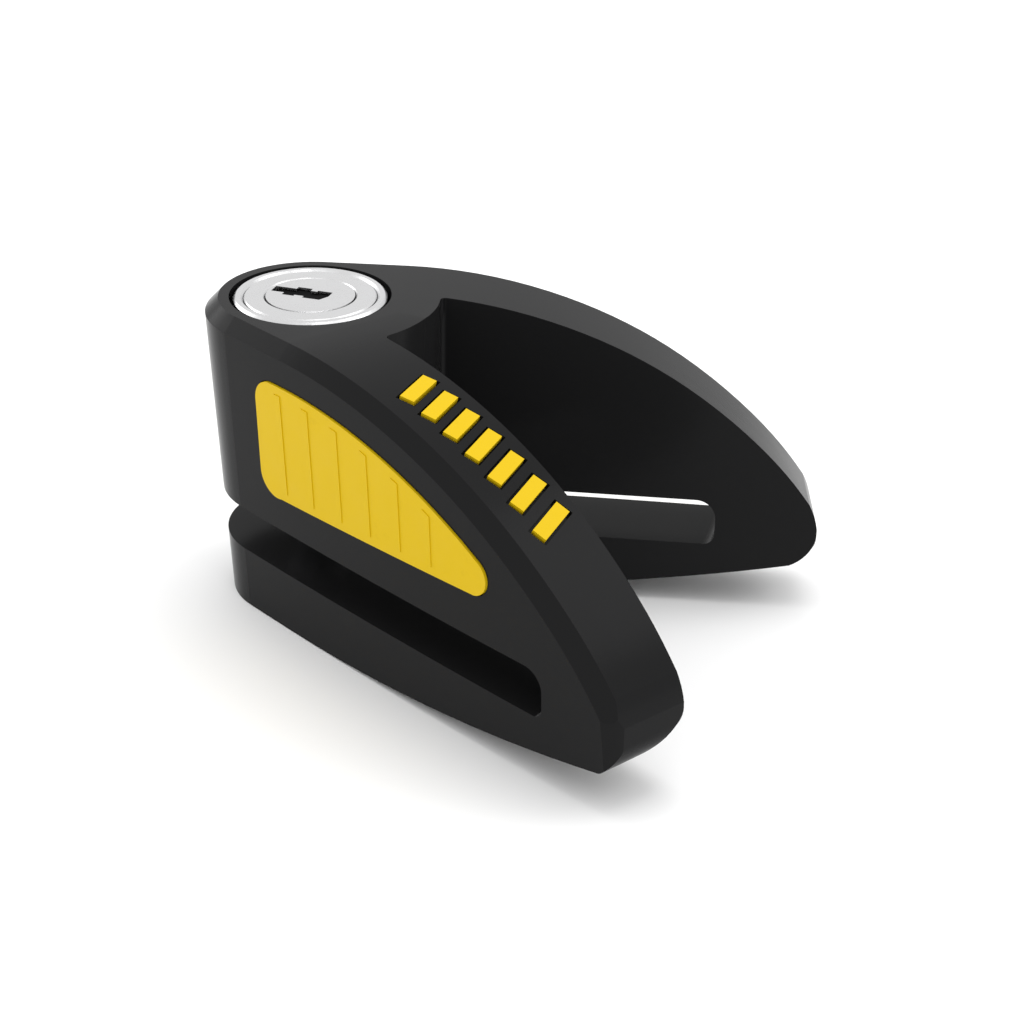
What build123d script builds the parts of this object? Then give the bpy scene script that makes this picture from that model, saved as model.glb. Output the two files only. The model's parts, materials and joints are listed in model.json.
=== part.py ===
"""V-shaped motorcycle disc lock with a push-down key cylinder and a vertical locking pin.

Frame: millimetres, +Z up. The lock axis is the Z axis, the V opens towards +X, the near wing lies at -Y,
and Z = 0 is the flat underside next to the lock.
"""
import os
from math import cos, radians, sin, tan, hypot

from build123d import *

os.makedirs("parts", exist_ok=True)

# ---- lock body -------------------------------------------------------------------------------------
FLOOR_Z = 9.7            # top of the lower jaw, the floor of the disc slot
CEILING_Z = 16.8         # underside of the upper jaw, the ceiling of the disc slot
TOP_Z = 46.3             # flat top around the key cylinder
APEX_R = 13.3            # outer radius round the lock axis, at the slot floor
DRAFT = 0.05             # outward lean of the outer wall, mm per mm of height
WING_ANGLE = 21.8        # outer wall of a wing against the X axis, degrees
BOW = 0.00048            # inward bow of the outer wall, mm per mm squared along the wing
TOP_CHAMFER = 2.0        # bevel round the outer top edge

PROFILE_ANGLE = 24.4     # direction in plan along which a wing's side profile falls away, degrees
PROFILE_START = 13.1     # where the top starts to fall
PROFILE_LENGTH = 72.3    # half length of the top's ellipse
PROFILE_HEIGHT = 65.9    # half height of the top's ellipse
WING_RUN = 90.0          # length of the outer wall outline, past the tip
TIP_REACH = 74.5         # distance of the end wall along the profile direction
TIP_ROLL = 2.6           # how far back the rounding of the end wall's upper edge starts
TIP_CORNER_R = 3.5       # upright rounding between outer wall and end wall
TIP_LOW = 5.4            # lowest point of the tip's rounding
TIP_R = 4.8              # rounding of the tip's lower edge
INNER_R = 6.2            # rounding of the tip's lower inner corner
INNER_CENTRE = (63.75, 12.6)
INNER_START = 65.5       # where that rounding starts, just below the underside
BOTTOM_R = 270.0         # radius of the rising underside
BOTTOM_START = 5.2       # where the underside starts to rise

POCKET_R = 18.6          # pocket wall round the lock axis
POCKET_CORNER_X = 18.6   # reference point of the pocket's side walls at the top
POCKET_CORNER_Y = 9.0
POCKET_ANGLE = 19.75     # pocket side walls against the X axis, degrees
POCKET_LEAN = 0.035      # inward lean of the pocket's side walls towards the bottom
POCKET_FILLET = 0.9

SLOT_ANGLE = 10.5        # slant of the slot's closed end in plan, degrees
SLOT_END = 58.7          # distance of the closed end along that slant
SLOT_UPPER_R = 3.0       # rounding of the closed end at the ceiling
SLOT_LOWER_R = 1.6       # rounding of the closed end at the floor

# ---- trim ------------------------------------------------------------------------------------------
INLAY_DEPTH = 1.2
INLAY_PROUD = 0.3
INLAY_GAP = 0.15
RIB_PROUD = 0.12
RIB_WIDTH = 1.3
RIB_POSITIONS = (11.9, 17.9, 24.0, 30.0, 36.1, 42.1)
BAR_COUNT = 7
BAR_WIDTH = 2.1
BAR_LENGTH = 6.2
BAR_SLANT = 24.0
BAR_PROUD = 0.25
BAR_DEPTH = 0.7
BAR_GAP = 0.4            # dark outline round each bar
BAR_START = (27.0, -17.6)
BAR_END = (50.0, -25.0)

# ---- key cylinder ----------------------------------------------------------------------------------
LIFT = 10.6              # travel of the cylinder and its pin
BORE_R = 9.45
HOUSING_R = 9.40
HOUSING_LOW = 26.3
HOUSING_TOP = 43.3
CAP_R = 11.0
CAP_RECESS_R = 11.6
CAP_RECESS_LOW = 42.9
CAP_INNER_R = 9.6
CAP_WEB = 0.8            # floor of the bezel on top of the housing
CAP_WEB_INNER_R = 8.2
FACE_R = 9.5
FACE_TOP = 46.2
GUARD_THICK = 1.0
PLUG_HOLE_R = 6.45
PLUG_R = 6.40
PLUG_LOW = 33.5
KEYWAY_ANGLE = 8.5       # direction of the keyway in plan, degrees
CHAMBER_LOW = 20.3       # floor of the spring chamber
SHUTTER_Z = 45.55
SHUTTER_THICK = 0.4
SHUTTER_SIZE = (9.4, 4.2)
WAFER_LEVELS = [36.4 + 1.35 * index for index in range(6)]
WAFER_THICK = 0.8
WAFER_SPRING_X = -1.0    # place of the springs beside the wafers
WAFER_SPRING_Y = 2.95
WAFER_SIZE = (9.6, 5.2)
WAFER_WINDOW = (3.2, 3.8)      # closed end in X and width in Y; the other end is open

# ---- locking pin and bushes ------------------------------------------------------------------------
PIN_R = 3.0
PIN_LOW = 6.3
PIN_TOP = 29.3
BUSH_HOLE_R = 3.05
BUSH_R = 4.6
JAW_BUSH_LOW = 3.5
ROLL_PIN_R = 0.75
ROLL_PIN_HALF = 7.0
ROLL_PIN_Z = 27.8

# ---- latch -----------------------------------------------------------------------------------------
LATCH_LOW = 30.0
LATCH_HIGH = 32.0
LATCH_TIP_X = -10.9
LATCH_TAIL_X = 1.6
LATCH_HALF_WIDTH = 2.2
CAM_PIN_OFFSET = 0.8     # the eccentric's place in X (negative) and Y at rest
CAM_PIN_R = 0.6
NOTCH_X = -11.25
NOTCH_HALF_WIDTH = 2.5

# ---- travel stop -----------------------------------------------------------------------------------
STOP_ANGLE = 65.0        # direction of the screw in plan, degrees
STOP_Z = 38.6
STOP_R = 1.25
STOP_TIP_R = 0.8
STOP_TIP_X = 8.7
STOP_SHOULDER_X = 10.4
STOP_HEAD_X = 16.2


def save(node, shape):
    """Write one node to its own file."""
    export_step(shape, "parts/" + node + ".step")


def cyl(radius, low, high, x=0.0, y=0.0):
    """Upright cylinder between two heights."""
    return Pos(x, y, (low + high) / 2) * Cylinder(radius, high - low)


def ring(outer, inner, low, high):
    """Upright tube between two heights."""
    return cyl(outer, low, high) - cyl(inner, low - 1, high + 1)


def block(x0, x1, y0, y1, z0, z1):
    """Box from its two corners."""
    return Pos((x0 + x1) / 2, (y0 + y1) / 2, (z0 + z1) / 2) * Box(x1 - x0, y1 - y0, z1 - z0)


def side_point(run, z, grow):
    """Point of the +Y outer wall at a distance along the wing."""
    angle = radians(WING_ANGLE)
    radius = APEX_R + DRAFT * (z - FLOOR_Z) + grow
    inward = BOW * run ** 2
    x = -radius * sin(angle) + run * cos(angle) + inward * sin(angle)
    y = radius * cos(angle) + run * sin(angle) - inward * cos(angle)
    return x, y


def profile_run(point):
    """Distance of a plan point of the +Y wing along the profile direction."""
    return point[0] * cos(radians(PROFILE_ANGLE)) + point[1] * sin(radians(PROFILE_ANGLE))


def corner_run(z):
    """Distance along the wing where the outer wall meets the end wall."""
    low, high = 40.0, 100.0
    for _ in range(40):
        middle = (low + high) / 2
        if profile_run(side_point(middle, z, 0)) < TIP_REACH:
            low = middle
        else:
            high = middle
    return low


def outline(z, grow):
    """Outer outline of the V at one height."""
    radius = APEX_R + DRAFT * (z - FLOOR_Z) + grow
    start = side_point(0, z, grow)
    middle = side_point(WING_RUN / 2, z, grow)
    end = side_point(WING_RUN, z, grow)
    return Pos(0, 0, z) * make_face(Curve([
        ThreePointArc((start[0], -start[1]), (-radius, 0), start),
        ThreePointArc(start, middle, end),
        Line(end, (end[0], -end[1])),
        ThreePointArc((end[0], -end[1]), (middle[0], -middle[1]), (start[0], -start[1])),
    ]))


def outer_solid(grow=0.0):
    """Everything inside the drafted outer wall, with no top or underside shape."""
    return loft([outline(-1.0, grow), outline(TOP_Z + 1.0, grow)], ruled=True)


def top_at(run):
    """Height of the top at a distance along the profile direction."""
    share = (run - PROFILE_START) / PROFILE_LENGTH
    return TOP_Z - PROFILE_HEIGHT + PROFILE_HEIGHT * (1 - share ** 2) ** 0.5


def top_slope(run):
    """Steepness of the top at a distance along the profile direction."""
    rise = top_at(run) - TOP_Z + PROFILE_HEIGHT
    return -(PROFILE_HEIGHT / PROFILE_LENGTH) ** 2 * (run - PROFILE_START) / rise


def profile_face():
    """Side profile of a wing: X is the distance along the profile direction, Y the height."""
    points = [(run, top_at(run)) for run in (PROFILE_START, 34.0, 52.0, 66.0, TIP_REACH)]
    top = Spline(points, tangents=[(1, 0), (1, top_slope(TIP_REACH))])
    corner = TIP_R * (1 - 0.5 ** 0.5)
    heel = TIP_REACH - TIP_R
    edges = [
        Line((-60, -5), (-60, TOP_Z)),
        Line((-60, TOP_Z), (PROFILE_START, TOP_Z)),
        top,
        Line((TIP_REACH, top_at(TIP_REACH)), (TIP_REACH, TIP_LOW + TIP_R)),
        ThreePointArc((TIP_REACH, TIP_LOW + TIP_R), (TIP_REACH - corner, TIP_LOW + corner), (heel, TIP_LOW)),
        Line((heel, TIP_LOW), (45, -5)),
        Line((45, -5), (-60, -5)),
    ]
    return make_face(Curve(edges))


def profile_prism(face):
    """Face of the side profile drawn out across the near wing."""
    angle = radians(PROFILE_ANGLE)
    plane = Plane(origin=(0, 0, 0), x_dir=(cos(angle), -sin(angle), 0), z_dir=(-sin(angle), -cos(angle), 0))
    return extrude(plane * face, 90, both=True)


def near_half():
    """Near half of the solid V, without pocket, slot or bores."""
    return outer_solid() & profile_prism(profile_face()) & block(-60, 120, -80, 0, -5, 60)


def nose_cut():
    """Rounds the edge between the falling top and the near wing's end wall."""
    top = (TIP_REACH - TIP_ROLL, top_at(TIP_REACH - TIP_ROLL) + 0.2)
    bulge = (TIP_REACH - 0.45, top_at(TIP_REACH) - 0.15)
    foot = (TIP_REACH + 0.1, TIP_LOW + TIP_R)
    edges = [
        ThreePointArc(top, bulge, foot),
        Line(foot, (TIP_REACH + 8, foot[1])),
        Line((TIP_REACH + 8, foot[1]), (TIP_REACH + 8, top[1] + 8)),
        Line((TIP_REACH + 8, top[1] + 8), (top[0], top[1] + 8)),
        Line((top[0], top[1] + 8), top),
    ]
    return profile_prism(make_face(Curve(edges))) & block(30, 120, -80, 0, -5, 60)


def corner_cut():
    """Rounds the near tip's upright corner between the outer wall and the end wall."""
    z = top_at(TIP_REACH) + 3
    run = corner_run(z)
    x, y = side_point(run, z, 0)
    slope = radians(WING_ANGLE) - 2 * BOW * run
    turn = slope + radians(90 - PROFILE_ANGLE)
    back = TIP_CORNER_R * tan(turn / 2)
    wall_out = (-sin(slope), cos(slope))
    end_out = (cos(radians(PROFILE_ANGLE)), sin(radians(PROFILE_ANGLE)))
    wall_point = (x - back * cos(slope) + 0.1 * wall_out[0], y - back * sin(slope) + 0.1 * wall_out[1])
    end_point = (x + back * end_out[1] + 0.1 * end_out[0], y - back * end_out[0] + 0.1 * end_out[1])
    outward = ((wall_out[0] + end_out[0]) / 2, (wall_out[1] + end_out[1]) / 2)
    length = hypot(*outward)
    depth = TIP_CORNER_R / cos(turn / 2) - TIP_CORNER_R
    bulge = (x - depth * outward[0] / length, y - depth * outward[1] / length)
    far_wall = (wall_point[0] + 8 * wall_out[0], wall_point[1] + 8 * wall_out[1])
    far_corner = (x + 16 * outward[0], y + 16 * outward[1])
    far_end = (end_point[0] + 8 * end_out[0], end_point[1] + 8 * end_out[1])
    face = make_face(Curve([
        ThreePointArc(wall_point, bulge, end_point),
        Line(end_point, far_end),
        Line(far_end, far_corner),
        Line(far_corner, far_wall),
        Line(far_wall, wall_point),
    ]))
    return mirror(Pos(0, 0, -3) * extrude(face, 40), Plane.XZ)




def inner_corner_cut():
    """Rounds the lower inner corner of both tips."""
    x, z = INNER_CENTRE
    start = (INNER_START, z - (INNER_R ** 2 - (INNER_START - x) ** 2) ** 0.5)
    bulge = (x + INNER_R * cos(radians(35)), z - INNER_R * sin(radians(35)))
    end = (x + INNER_R, z)
    face = make_face(Curve([
        ThreePointArc(start, bulge, end),
        Line(end, (x + 20, z)),
        Line((x + 20, z), (x + 20, -6)),
        Line((x + 20, -6), (INNER_START, -6)),
        Line((INNER_START, -6), start),
    ]))
    return extrude(Plane.XZ * face, 90, both=True)


def under_cut():
    """Removes everything below the underside, flat by the lock and rising towards the tips."""
    flat = block(-60, 120, -80, 80, -10, 0)
    face = make_face(Curve([
        Line((BOTTOM_START, -1), (BOTTOM_START, 0)),
        ThreePointArc(
            (BOTTOM_START, 0),
            (BOTTOM_START + BOTTOM_R * sin(radians(8)), BOTTOM_R * (1 - cos(radians(8)))),
            (BOTTOM_START + BOTTOM_R * sin(radians(20)), BOTTOM_R * (1 - cos(radians(20)))),
        ),
        Line(
            (BOTTOM_START + BOTTOM_R * sin(radians(20)), BOTTOM_R * (1 - cos(radians(20)))),
            (BOTTOM_START + BOTTOM_R * sin(radians(20)), -1),
        ),
        Line((BOTTOM_START + BOTTOM_R * sin(radians(20)), -1), (BOTTOM_START, -1)),
    ]))
    rising = extrude(Plane.XZ * face, 90, both=True)
    return flat + rising


def pocket_outline(z):
    """Plan of the wedge between the wings at one height."""
    start = POCKET_CORNER_Y - POCKET_LEAN * (TOP_Z - z)
    slope = tan(radians(POCKET_ANGLE))
    y0 = start + slope * (8 - POCKET_CORNER_X)
    y1 = start + slope * (110 - POCKET_CORNER_X)
    return Pos(0, 0, z) * make_face(Polyline((8, -y0), (110, -y1), (110, y1), (8, y0), close=True))


def pocket():
    """Open space between the wings, closed by a wall round the lock."""
    wedge = loft([pocket_outline(-2.0), pocket_outline(TOP_Z + 2.0)], ruled=True)
    space = wedge - cyl(POCKET_R, -5, TOP_Z + 5)
    corners = [
        e for e in space.edges()
        if abs(e.center().X - POCKET_R) < 5 and abs(e.center().Y) > 3 and e.bounding_box().size.Z > 40
    ]
    return fillet(corners, POCKET_FILLET)


def disc_slot():
    """Level slot through both wings, open at the lock end."""
    upper = SLOT_UPPER_R * (1 - 0.5 ** 0.5)
    lower = SLOT_LOWER_R * (1 - 0.5 ** 0.5)
    end = SLOT_END
    face = make_face(Curve([
        Line((-60, FLOOR_Z), (-60, CEILING_Z)),
        Line((-60, CEILING_Z), (end - SLOT_UPPER_R, CEILING_Z)),
        ThreePointArc((end - SLOT_UPPER_R, CEILING_Z), (end - upper, CEILING_Z - upper),
                      (end, CEILING_Z - SLOT_UPPER_R)),
        Line((end, CEILING_Z - SLOT_UPPER_R), (end, FLOOR_Z + SLOT_LOWER_R)),
        ThreePointArc((end, FLOOR_Z + SLOT_LOWER_R), (end - lower, FLOOR_Z + lower),
                      (end - SLOT_LOWER_R, FLOOR_Z)),
        Line((end - SLOT_LOWER_R, FLOOR_Z), (-60, FLOOR_Z)),
    ]))
    slant = radians(SLOT_ANGLE)
    plane = Plane(origin=(0, 0, 0), x_dir=(cos(slant), -sin(slant), 0), z_dir=(-sin(slant), -cos(slant), 0))
    near = extrude(plane * face, 90, both=True) & block(-60, 120, -80, 0, 0, 60)
    return near + mirror(near, Plane.XZ)


def on_outer_wall(point):
    """True for a point that lies on the drafted outer wall."""
    angle = radians(WING_ANGLE)
    radius = APEX_R + DRAFT * (point.Z - FLOOR_Z)
    run = point.X * cos(angle) + abs(point.Y) * sin(angle)
    if run < 0:
        return abs(hypot(point.X, point.Y) - radius) < 0.2
    wall = -point.X * sin(angle) + abs(point.Y) * cos(angle)
    return abs(wall - (radius - BOW * run ** 2)) < 0.3


def top_outer_edges(shape):
    """Edges between the top and the outer wall."""
    found = []
    for edge in shape.edges():
        samples = [edge.position_at(t) for t in (0.02, 0.25, 0.5, 0.75, 0.98)]
        low = min(p.Z for p in samples)
        size = edge.bounding_box().size
        upright = hypot(size.X, size.Y) < 3
        if low > TIP_LOW + TIP_R - 1 and not upright and all(on_outer_wall(p) for p in samples):
            found.append(edge)
    return found


def inlay_prism(grow, low_run=None, high_run=None):
    """Outline of the near side inlay, drawn out across the outer wall."""
    angle = radians(WING_ANGLE)
    plane = Plane(origin=(0, 0, 0), x_dir=(cos(angle), -sin(angle), 0), z_dir=(-sin(angle), -cos(angle), 0))
    edges = [
        Line((6.5, 25.4), (6.7, 36.4)),
        ThreePointArc((6.7, 36.4), (7.7, 39.1), (10.5, 40.2)),
        ThreePointArc((10.5, 40.2), (33.6, 37.1), (51.6, 28.8)),
        ThreePointArc((51.6, 28.8), (52.8, 25.8), (50.6, 23.7)),
        Line((50.6, 23.7), (10.9, 22.3)),
        ThreePointArc((10.9, 22.3), (7.7, 23.0), (6.5, 25.4)),
    ]
    face = make_face(Curve(edges))
    if grow:
        face = offset(face, grow)
    prism = extrude(plane * face, 70)
    if low_run is None:
        return prism
    strip = plane * (Pos((low_run + high_run) / 2, 31, 0) * Rectangle(high_run - low_run, 60))
    inner = offset(face, -1.3)
    return extrude(plane * inner, 70) & extrude(strip, 70)


def side_inlay():
    """Ribbed inlay of the near wing."""
    core = outer_solid(-INLAY_DEPTH)
    inlay = (inlay_prism(0) & outer_solid(INLAY_PROUD)) - core
    for run in RIB_POSITIONS:
        strip = inlay_prism(0, run - RIB_WIDTH / 2, run + RIB_WIDTH / 2)
        inlay = inlay + ((strip & outer_solid(INLAY_PROUD + RIB_PROUD)) - outer_solid(-INLAY_DEPTH / 2))
    return inlay


def side_recess():
    """Recess that takes the near inlay."""
    return inlay_prism(INLAY_GAP) - outer_solid(-INLAY_DEPTH - INLAY_GAP)


def top_plane(x, y):
    """Plane lying on the near wing's falling top at one place."""
    angle = radians(PROFILE_ANGLE)
    run = profile_run((x, -y))
    slope = top_slope(run)
    along = (cos(angle), -sin(angle), slope)
    upward = (-slope * cos(angle), slope * sin(angle), 1)
    return Plane(origin=(x, y, top_at(run)), x_dir=along, z_dir=upward)


def accent_boxes(grow, low, high):
    """Slanted bars on the near wing's top, each lying on the surface."""
    boxes = []
    for index in range(BAR_COUNT):
        share = index / (BAR_COUNT - 1)
        x = BAR_START[0] + share * (BAR_END[0] - BAR_START[0])
        y = BAR_START[1] + share * (BAR_END[1] - BAR_START[1])
        bar = Pos(0, 0, (low + high) / 2) * Box(BAR_WIDTH + 2 * grow, BAR_LENGTH + 2 * grow, high - low)
        boxes.append(top_plane(x, y) * Rot(0, 0, BAR_SLANT) * bar)
    return boxes


def accent_bars():
    """Painted plastic bars let into the near wing's top."""
    return Compound(children=[bar.solid() for bar in accent_boxes(0, -BAR_DEPTH, BAR_PROUD)])


def accent_recesses():
    """Shallow recesses under and round the bars."""
    return accent_boxes(BAR_GAP, -BAR_DEPTH - INLAY_GAP, 3)


def stop_rod(radius, start, end):
    """Rod along the travel stop screw's axis, between two distances from the lock axis."""
    rod = Pos((start + end) / 2, 0, STOP_Z) * Rot(0, 90, 0) * Cylinder(radius, end - start)
    return Rot(0, 0, STOP_ANGLE) * rod


def latch_track():
    """Notch for the latch and the slope above it that lets the latch draw back as the cylinder rises."""
    face = make_face(Polyline(
        (-8.0, LATCH_LOW - 0.3), (NOTCH_X, LATCH_LOW - 0.3), (NOTCH_X, LATCH_HIGH + 0.3),
        (-9.4, LATCH_HIGH + 0.3 + LIFT), (-8.0, LATCH_HIGH + 0.3 + LIFT), close=True))
    return extrude(Plane.XZ * face, NOTCH_HALF_WIDTH, both=True)


def stop_hole():
    """Threaded hole of the travel stop screw, from under the far inlay into the bore."""
    hole = stop_rod(STOP_R, STOP_SHOULDER_X, 24)
    return hole + stop_rod(STOP_TIP_R + 0.2, 8, STOP_SHOULDER_X)


def lock_body():
    """Cast body with both wings."""
    near = near_half()
    body = (near + mirror(near, Plane.XZ)).clean()
    body = chamfer(top_outer_edges(body), TOP_CHAMFER)
    for cut in (nose_cut(), corner_cut()):
        body = body - cut - mirror(cut, Plane.XZ)
    body = body - inner_corner_cut() - under_cut() - pocket() - disc_slot()
    body = body - cyl(BORE_R, CHAMBER_LOW, 60) - cyl(CAP_RECESS_R, CAP_RECESS_LOW, 60)
    body = body - cyl(BUSH_R, CEILING_Z - 1, CHAMBER_LOW + 1) - cyl(BUSH_R, JAW_BUSH_LOW, FLOOR_Z + 1)
    body = body - latch_track() - stop_hole()
    recess = side_recess()
    body = body - recess - mirror(recess, Plane.XZ)
    for cut in accent_recesses():
        body = body - cut
    return body


def keyway_face():
    """Stepped keyway outline about the lock axis, before it is turned to its place."""
    return make_face(Polyline(
        (-5.6, -0.8), (-3.6, -0.8), (-3.6, -1.6), (-1.8, -1.6), (-1.8, -1.2), (-0.4, -1.2), (-0.4, -1.8),
        (2.2, -1.8), (3.0, -0.2), (3.0, 1.4), (0.8, 1.4), (0.8, 1.0), (-0.2, 1.0), (-0.2, 1.8), (-2.4, 1.8),
        (-2.4, 1.1), (-5.6, 1.1), close=True))


def turned(shape):
    """Turn a part of the plug to the keyway's direction."""
    return Pos(-0.4, 0.4, 0) * Rot(0, 0, KEYWAY_ANGLE) * shape


def plug():
    """Turning plug with its keyway and wafer slots."""
    body = cyl(PLUG_R, PLUG_LOW, FACE_TOP)
    body = body - extrude(turned(Pos(0, 0, 35.6) * keyway_face()), 20)
    for level in WAFER_LEVELS:
        slot = Pos(0, 0, level) * Box(WAFER_SIZE[0] + 0.3, WAFER_SIZE[1] + 0.3, WAFER_THICK + 0.16)
        body = body - turned(slot)
        spring_pocket = Box(1.6, 1.9, WAFER_THICK + 0.16)
        body = body - turned(Pos(WAFER_SPRING_X, WAFER_SPRING_Y + 0.7, level) * spring_pocket)
    shutter_slot = Box(SHUTTER_SIZE[0] + 0.2, SHUTTER_SIZE[1] + 0.2, SHUTTER_THICK + 0.2)
    body = body - turned(Pos(-0.4, 0, SHUTTER_Z) * shutter_slot)
    return body


def wafers():
    """Thin plates that block the plug until the right key lines them up."""
    plates = []
    for level in WAFER_LEVELS:
        plate = Pos(0, 0, level) * Box(WAFER_SIZE[0], WAFER_SIZE[1], WAFER_THICK)
        half = WAFER_WINDOW[1] / 2
        window = block(-8, WAFER_WINDOW[0], -half, half, level - WAFER_THICK, level + WAFER_THICK)
        plates.append(turned(plate - window).solid())
    return Compound(children=plates)


def coil(radius, wire, pitch, height, x_dir=(1, 0, 0)):
    """Helical spring from Z = 0 up."""
    path = Helix(pitch=pitch, height=height, radius=radius)
    section = Plane(origin=path @ 0, z_dir=path % 0) * Circle(wire)
    return sweep(section, path=path)


def wafer_springs():
    """Small coil spring beside each wafer."""
    springs = []
    for level in WAFER_LEVELS:
        spring = coil(0.28, 0.14, 0.4, 1.1)
        placed = Pos(WAFER_SPRING_X, WAFER_SPRING_Y, level) * Rot(-90, 0, 0) * spring
        springs.append(turned(placed).solid())
    return Compound(children=springs)


def keyway_shutter():
    """Dust shutter just under the keyway's mouth."""
    return turned(Pos(-0.4, 0, SHUTTER_Z) * Box(SHUTTER_SIZE[0], SHUTTER_SIZE[1], SHUTTER_THICK)).solid()


def tail_cam():
    """Disc with an eccentric under the plug that draws the latch back."""
    disc = cyl(4.8, LATCH_HIGH + 0.25, PLUG_LOW)
    eccentric = cyl(CAM_PIN_R, LATCH_LOW + 0.3, LATCH_HIGH + 0.5, -CAM_PIN_OFFSET, CAM_PIN_OFFSET)
    return disc + eccentric


def latch():
    """Sliding latch bolt with a cross slot for the eccentric."""
    bolt = block(LATCH_TIP_X, LATCH_TAIL_X, -LATCH_HALF_WIDTH, LATCH_HALF_WIDTH, LATCH_LOW, LATCH_HIGH)
    nose = block(LATCH_TIP_X - 1, LATCH_TIP_X + 0.5, -3, 3, LATCH_LOW - 1, LATCH_LOW + 0.5)
    slot = block(-CAM_PIN_OFFSET - CAM_PIN_R - 0.1, -CAM_PIN_OFFSET + CAM_PIN_R + 0.1, 0.1, 1.85,
                 LATCH_LOW - 1, LATCH_HIGH + 1)
    return bolt - nose - slot


def latch_spring():
    """Coil spring that pushes the latch outwards."""
    spring = coil(0.7, 0.14, 0.75, 3.1)
    return Pos(LATCH_TAIL_X + 0.15, 0, (LATCH_LOW + LATCH_HIGH) / 2) * Rot(0, 90, 0) * spring


def housing():
    """Cylinder housing that slides in the body."""
    body = cyl(HOUSING_R, HOUSING_LOW, HOUSING_TOP)
    body = body - cyl(PLUG_HOLE_R, LATCH_HIGH + 0.1, 60)
    body = body - block(-12, 5.2, -LATCH_HALF_WIDTH - 0.1, LATCH_HALF_WIDTH + 0.1,
                        LATCH_LOW - 0.1, LATCH_HIGH + 0.2)
    body = body - cyl(PIN_R, 20, PIN_TOP)
    body = body - Pos(0, 0, ROLL_PIN_Z) * Rot(90, 0, 0) * Cylinder(ROLL_PIN_R, 30)
    groove = block(8.2, 12, -1.0, 1.0, STOP_Z - LIFT - 1.05, STOP_Z + 1.05)
    body = body - Rot(0, 0, STOP_ANGLE) * groove
    seal_groove = ring(12, 8.0, 41.4, 42.8)
    return body - seal_groove


def dust_seal():
    """Rubber ring in the housing's groove."""
    return Pos(0, 0, 42.1) * Torus(8.72, 0.66)


def cap_bezel():
    """Bright ring at the top of the cylinder."""
    outer = cyl(CAP_R, HOUSING_TOP, TOP_Z) - cyl(CAP_INNER_R, HOUSING_TOP + CAP_WEB, 60)
    bezel = outer - cyl(CAP_WEB_INNER_R, 40, 60)
    rim = bezel.edges().filter_by(GeomType.CIRCLE).sort_by(Axis.Z)[-2:]
    return chamfer(rim, 0.35)


def cap_face():
    """Bright disc round the plug."""
    low = HOUSING_TOP + CAP_WEB + GUARD_THICK
    disc = ring(FACE_R, PLUG_HOLE_R + 0.1, low, FACE_TOP)
    top = disc.edges().filter_by(GeomType.CIRCLE).sort_by(Axis.Z)[-2:]
    return chamfer(top, 0.2)


def drill_guard():
    """Hard disc under the bright face."""
    return ring(FACE_R, PLUG_HOLE_R + 0.1, HOUSING_TOP + CAP_WEB, HOUSING_TOP + CAP_WEB + GUARD_THICK)


def locking_pin():
    """Steel pin that crosses the disc slot."""
    pin = cyl(PIN_R, PIN_LOW, PIN_TOP)
    pin = chamfer(pin.edges().filter_by(GeomType.CIRCLE).sort_by(Axis.Z)[0], 0.6)
    return pin - Pos(0, 0, ROLL_PIN_Z) * Rot(90, 0, 0) * Cylinder(ROLL_PIN_R, 30)


def roll_pin():
    """Cross pin that holds the locking pin in the housing."""
    tube = Cylinder(ROLL_PIN_R, 2 * ROLL_PIN_HALF) - Cylinder(ROLL_PIN_R - 0.3, 2 * ROLL_PIN_HALF + 1)
    return Pos(0, 0, ROLL_PIN_Z) * Rot(90, 0, 0) * tube


def return_spring():
    """Spring that lifts the cylinder when the latch lets go."""
    return Pos(0, 0, CHAMBER_LOW + 1.25) * coil(6.0, 0.4, 1.25, 3.9)


def spring_washer():
    """Seat washer under the return spring."""
    return ring(8.6, 4.9, CHAMBER_LOW, CHAMBER_LOW + 0.6)


def stop_screw():
    """Set screw whose tip runs in the housing's groove and limits its travel."""
    screw = stop_rod(STOP_R, STOP_SHOULDER_X, STOP_HEAD_X) + stop_rod(STOP_TIP_R, STOP_TIP_X, STOP_SHOULDER_X)
    socket = Plane(origin=(STOP_HEAD_X + 0.1, 0, STOP_Z), z_dir=(-1, 0, 0)) * RegularPolygon(0.75, 6)
    return screw - Rot(0, 0, STOP_ANGLE) * extrude(socket, 1.6)


near_inlay = side_inlay()

save("lock_body", lock_body())
save("side_inlay_near", near_inlay)
save("side_inlay_far", mirror(near_inlay, Plane.XZ))
save("accent_bars", accent_bars())
save("cap_bezel", cap_bezel())
save("cap_face", cap_face())
save("drill_guard_disc", drill_guard())
save("cylinder_housing", housing())
save("dust_seal", dust_seal())
save("plug", plug())
save("keyway_shutter", keyway_shutter())
save("wafers", wafers())
save("wafer_springs", wafer_springs())
save("tail_cam", tail_cam())
save("latch", latch())
save("latch_spring", latch_spring())
save("locking_pin", locking_pin())
save("pin_roll_pin", roll_pin())
save("return_spring", return_spring())
save("spring_washer", spring_washer())
save("travel_stop_screw", stop_screw())
save("pin_guide_bush", ring(BUSH_R, BUSH_HOLE_R, CEILING_Z, CHAMBER_LOW))
save("lower_jaw_bush", ring(BUSH_R, BUSH_HOLE_R, JAW_BUSH_LOW, FLOOR_Z))
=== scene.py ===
import json
from math import cos, radians, sin

import bpy
from mathutils import Matrix, Vector

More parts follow.
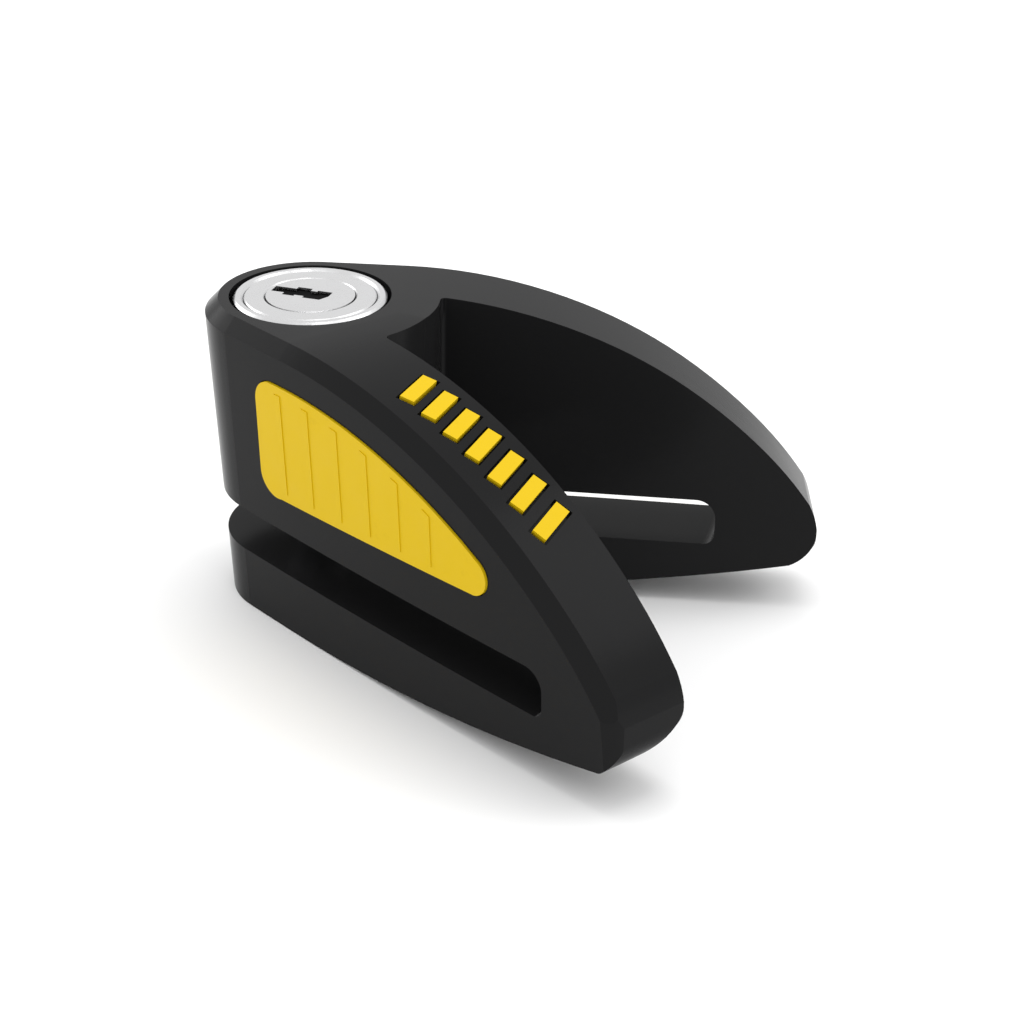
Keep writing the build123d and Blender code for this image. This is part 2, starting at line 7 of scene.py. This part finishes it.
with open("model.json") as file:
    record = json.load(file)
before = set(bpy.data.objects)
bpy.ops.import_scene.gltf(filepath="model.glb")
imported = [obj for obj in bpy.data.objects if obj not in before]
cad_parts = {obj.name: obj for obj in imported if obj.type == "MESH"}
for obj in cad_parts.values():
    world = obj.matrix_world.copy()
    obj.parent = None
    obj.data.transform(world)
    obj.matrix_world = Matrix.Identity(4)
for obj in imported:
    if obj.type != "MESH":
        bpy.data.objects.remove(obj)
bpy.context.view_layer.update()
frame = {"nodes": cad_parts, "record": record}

MM = 0.001

# ---- camera, fitted so that the lock lies as it does in the picture -----------------------------
CAMERA_TURN = 25.57       # image right against +X, degrees
CAMERA_PITCH = 27.48      # downwards, degrees
CAMERA_ROLL = -1.11       # degrees
CAMERA_DISTANCE = 311.1   # from the anchor, along the view, mm
CAMERA_RIGHT = 28.76      # camera's place along its own level right and up directions, mm
CAMERA_UP = 2.07
CAMERA_ANCHOR = (0.7, 0.0, 9.7)   # point that the camera's place is counted from, mm
CAMERA_LENS = 72.5
CAMERA_SENSOR = 36.0
CAMERA_CLIP_START = 0.01  # metres

# ---- colours, linear -----------------------------------------------------------------------------
BLACK_PAINT = (0.0115, 0.0115, 0.0118)
BLACK_DUST = (0.0140, 0.0139, 0.0137)
YELLOW = (0.66, 0.445, 0.004)
YELLOW_WORN = (0.58, 0.38, 0.006)
BRIGHT = (0.66, 0.66, 0.665)
BRIGHT_WORN = (0.56, 0.56, 0.565)
HARD_STEEL = (0.45, 0.45, 0.47)
HARD_WORN = (0.28, 0.27, 0.27)
# dark steel pushed to near black so the keyway reads as a black slot: painted shade of its depth over the
# steel's own dark tone
DARK_STEEL_PAINTED_SHADE = (0.0030, 0.0030, 0.0032)
DARK_WORN_PAINTED_SHADE = (0.0060, 0.0058, 0.0056)
BRASS = (0.70, 0.50, 0.20)
BRASS_WORN = (0.40, 0.28, 0.12)
RUBBER = (0.015, 0.015, 0.015)
RUBBER_WORN = (0.040, 0.040, 0.040)
FLOOR = (0.90, 0.90, 0.90)

# ---- surface noise, the same for every finish ----------------------------------------------------
PATCH_DETAIL = 6.0
PATCH_ROUGHNESS = 0.65
PATCH_LOW = 0.35          # patch values between which the roughness changes
PATCH_HIGH = 0.65
WEAR_WIDTH = 0.25         # patch values over which the wear comes in
GRAIN_DETAIL = 3.0
GRAIN_HEIGHT = 0.0002     # metres

# ---- small rounded edges, metres -----------------------------------------------------------------
BODY_EDGE = 0.45 * MM
INLAY_EDGE = 0.12 * MM
BAR_EDGE = 0.08 * MM
BODY_SEGMENTS = 3
TRIM_SEGMENTS = 2
EDGE_ANGLE = 35.0         # only edges sharper than this are rounded, degrees

# ---- floor, surroundings and lamps, metres and watts ---------------------------------------------
FLOOR_SIZE = 12.0
FLOOR_HEIGHT = -0.0001
FLOOR_ROUGHNESS = 0.9
FLOOR_SPECULAR = 0.1
WORLD_COLOUR = (1.0, 1.0, 1.0)
WORLD_STRENGTH = 1.0
LAMP_TARGET = (0.03, 0.0, 0.02)
LAMPS = (
    # name, place, size, power
    ("above", (0.05, 0.10, 0.90), (0.6, 0.6), 3.0),
    ("lock_end", (-0.60, 0.05, 0.25), (0.3, 0.5), 1.0),
    ("open_end", (0.45, 0.25, 0.50), (0.35, 0.35), 0.8),
)


def surface(name, base, worn, roughness, grain, bump, metallic=0.0, wear_scale=160.0, wear_start=0.60,
            specular=0.5):
    """Procedural material: patchy wear in the colour, uneven roughness and a fine bump."""
    material = bpy.data.materials.new(name)
    material.use_nodes = True
    nodes = material.node_tree.nodes
    links = material.node_tree.links
    shader = nodes["Principled BSDF"]
    shader.inputs["Metallic"].default_value = metallic
    shader.inputs["Specular IOR Level"].default_value = specular

    place = nodes.new("ShaderNodeTexCoord")

    patches = nodes.new("ShaderNodeTexNoise")
    patches.inputs["Scale"].default_value = wear_scale
    patches.inputs["Detail"].default_value = PATCH_DETAIL
    patches.inputs["Roughness"].default_value = PATCH_ROUGHNESS
    links.new(place.outputs["Object"], patches.inputs["Vector"])

    wear = nodes.new("ShaderNodeMapRange")
    wear.inputs["From Min"].default_value = wear_start
    wear.inputs["From Max"].default_value = wear_start + WEAR_WIDTH
    links.new(patches.outputs["Fac"], wear.inputs["Value"])

    colour = nodes.new("ShaderNodeMix")
    colour.data_type = "RGBA"
    colour.inputs["A"].default_value = (*base, 1.0)
    colour.inputs["B"].default_value = (*worn, 1.0)
    links.new(wear.outputs["Result"], colour.inputs["Factor"])
    links.new(colour.outputs["Result"], shader.inputs["Base Color"])

    rough = nodes.new("ShaderNodeMapRange")
    rough.inputs["From Min"].default_value = PATCH_LOW
    rough.inputs["From Max"].default_value = PATCH_HIGH
    rough.inputs["To Min"].default_value = roughness[0]
    rough.inputs["To Max"].default_value = roughness[1]
    links.new(patches.outputs["Fac"], rough.inputs["Value"])
    links.new(rough.outputs["Result"], shader.inputs["Roughness"])

    fine = nodes.new("ShaderNodeTexNoise")
    fine.inputs["Scale"].default_value = grain
    fine.inputs["Detail"].default_value = GRAIN_DETAIL
    links.new(place.outputs["Object"], fine.inputs["Vector"])

    relief = nodes.new("ShaderNodeBump")
    relief.inputs["Strength"].default_value = bump
    relief.inputs["Distance"].default_value = GRAIN_HEIGHT
    links.new(fine.outputs["Fac"], relief.inputs["Height"])
    links.new(relief.outputs["Normal"], shader.inputs["Normal"])
    return material


def make_materials():
    """One material for each material slot of the record."""
    return {
        "body_black": surface("body_black", BLACK_PAINT, BLACK_DUST, roughness=(0.20, 0.23), grain=1500.0,
                              bump=0.03, wear_scale=90.0, wear_start=0.62, specular=0.058),
        "yellow": surface("yellow_plastic", YELLOW, YELLOW_WORN, roughness=(0.40, 0.52), grain=2200.0,
                          bump=0.05, wear_scale=260.0, wear_start=0.62, specular=0.12),
        "bright_metal": surface("bright_metal", BRIGHT, BRIGHT_WORN, roughness=(0.22, 0.34), grain=3000.0,
                                bump=0.03, metallic=1.0, wear_scale=400.0, wear_start=0.64),
        "hard_steel": surface("hard_steel", HARD_STEEL, HARD_WORN, roughness=(0.25, 0.40), grain=2500.0,
                              bump=0.04, metallic=1.0),
        # near-black colour and very low reflection: painted shade that makes the keyway read black
        "dark_steel": surface("dark_steel", DARK_STEEL_PAINTED_SHADE, DARK_WORN_PAINTED_SHADE, roughness=(0.50, 0.65), grain=2500.0,
                              bump=0.05, specular=0.03),
        "brass": surface("brass", BRASS, BRASS_WORN, roughness=(0.28, 0.45), grain=2500.0,
                         bump=0.04, metallic=1.0),
        "spring_steel": surface("spring_steel", HARD_STEEL, HARD_WORN, roughness=(0.25, 0.40), grain=2500.0,
                                bump=0.04, metallic=1.0),
        "rubber": surface("rubber", RUBBER, RUBBER_WORN, roughness=(0.60, 0.80), grain=1800.0, bump=0.10),
    }


def dress_nodes(materials):
    """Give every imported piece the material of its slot."""
    slots = {part["node"]: part["material_slot"] for part in frame["record"]["subparts"]}
    for name, node in frame["nodes"].items():
        node.data.materials.clear()
        node.data.materials.append(materials[slots[name]])


def soften(name, width, segments):
    """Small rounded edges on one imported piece."""
    bevel = frame["nodes"][name].modifiers.new("soft_edges", "BEVEL")
    bevel.width = width
    bevel.segments = segments
    bevel.limit_method = "ANGLE"
    bevel.angle_limit = radians(EDGE_ANGLE)
    bevel.harden_normals = True


def add_floor():
    """Plain pale floor just under the lock."""
    bpy.ops.mesh.primitive_plane_add(size=FLOOR_SIZE, location=(0, 0, FLOOR_HEIGHT))
    floor = bpy.context.object
    floor.name = "floor"
    material = bpy.data.materials.new("floor")
    material.use_nodes = True
    shader = material.node_tree.nodes["Principled BSDF"]
    shader.inputs["Base Color"].default_value = (*FLOOR, 1.0)
    shader.inputs["Roughness"].default_value = FLOOR_ROUGHNESS
    shader.inputs["Specular IOR Level"].default_value = FLOOR_SPECULAR
    floor.data.materials.append(material)


def add_world():
    """Even white surroundings."""
    world = bpy.data.worlds.new("studio")
    world.use_nodes = True
    background = world.node_tree.nodes["Background"]
    background.inputs["Color"].default_value = (*WORLD_COLOUR, 1.0)
    background.inputs["Strength"].default_value = WORLD_STRENGTH
    bpy.context.scene.world = world


def add_area(name, place, size, power):
    """Soft rectangular lamp aimed at the lock."""
    lamp = bpy.data.lights.new(name, "AREA")
    lamp.shape = "RECTANGLE"
    lamp.size = size[0]
    lamp.size_y = size[1]
    lamp.energy = power
    holder = bpy.data.objects.new(name, lamp)
    bpy.context.scene.collection.objects.link(holder)
    holder.location = place
    holder.rotation_euler = (Vector(LAMP_TARGET) - Vector(place)).to_track_quat("-Z", "Y").to_euler()


def add_camera():
    """Camera at the picture's angle."""
    turn = radians(CAMERA_TURN)
    pitch = radians(CAMERA_PITCH)
    roll = radians(CAMERA_ROLL)
    level_right = Vector((cos(turn), sin(turn), 0.0))
    level_up = Vector((-sin(turn) * sin(pitch), cos(turn) * sin(pitch), cos(pitch)))
    forward = Vector((-sin(turn) * cos(pitch), cos(turn) * cos(pitch), -sin(pitch)))
    place = CAMERA_RIGHT * level_right + CAMERA_UP * level_up - CAMERA_DISTANCE * forward
    place = (place + Vector(CAMERA_ANCHOR)) * MM
    right = cos(roll) * level_right - sin(roll) * level_up
    up = sin(roll) * level_right + cos(roll) * level_up
    pose = Matrix((right, up, -forward)).transposed().to_4x4()
    pose.translation = place
    data = bpy.data.cameras.new("camera")
    data.lens = CAMERA_LENS
    data.sensor_width = CAMERA_SENSOR
    data.clip_start = CAMERA_CLIP_START
    camera = bpy.data.objects.new("camera", data)
    camera.matrix_world = pose
    bpy.context.scene.collection.objects.link(camera)
    bpy.context.scene.camera = camera


dress_nodes(make_materials())
soften("lock_body", BODY_EDGE, BODY_SEGMENTS)
soften("side_inlay_near", INLAY_EDGE, TRIM_SEGMENTS)
soften("side_inlay_far", INLAY_EDGE, TRIM_SEGMENTS)
soften("accent_bars", BAR_EDGE, TRIM_SEGMENTS)
add_floor()
add_world()
for lamp_name, lamp_place, lamp_size, lamp_power in LAMPS:
    add_area(lamp_name, lamp_place, lamp_size, lamp_power)
add_camera()
bpy.context.scene.view_settings.view_transform = "Standard"
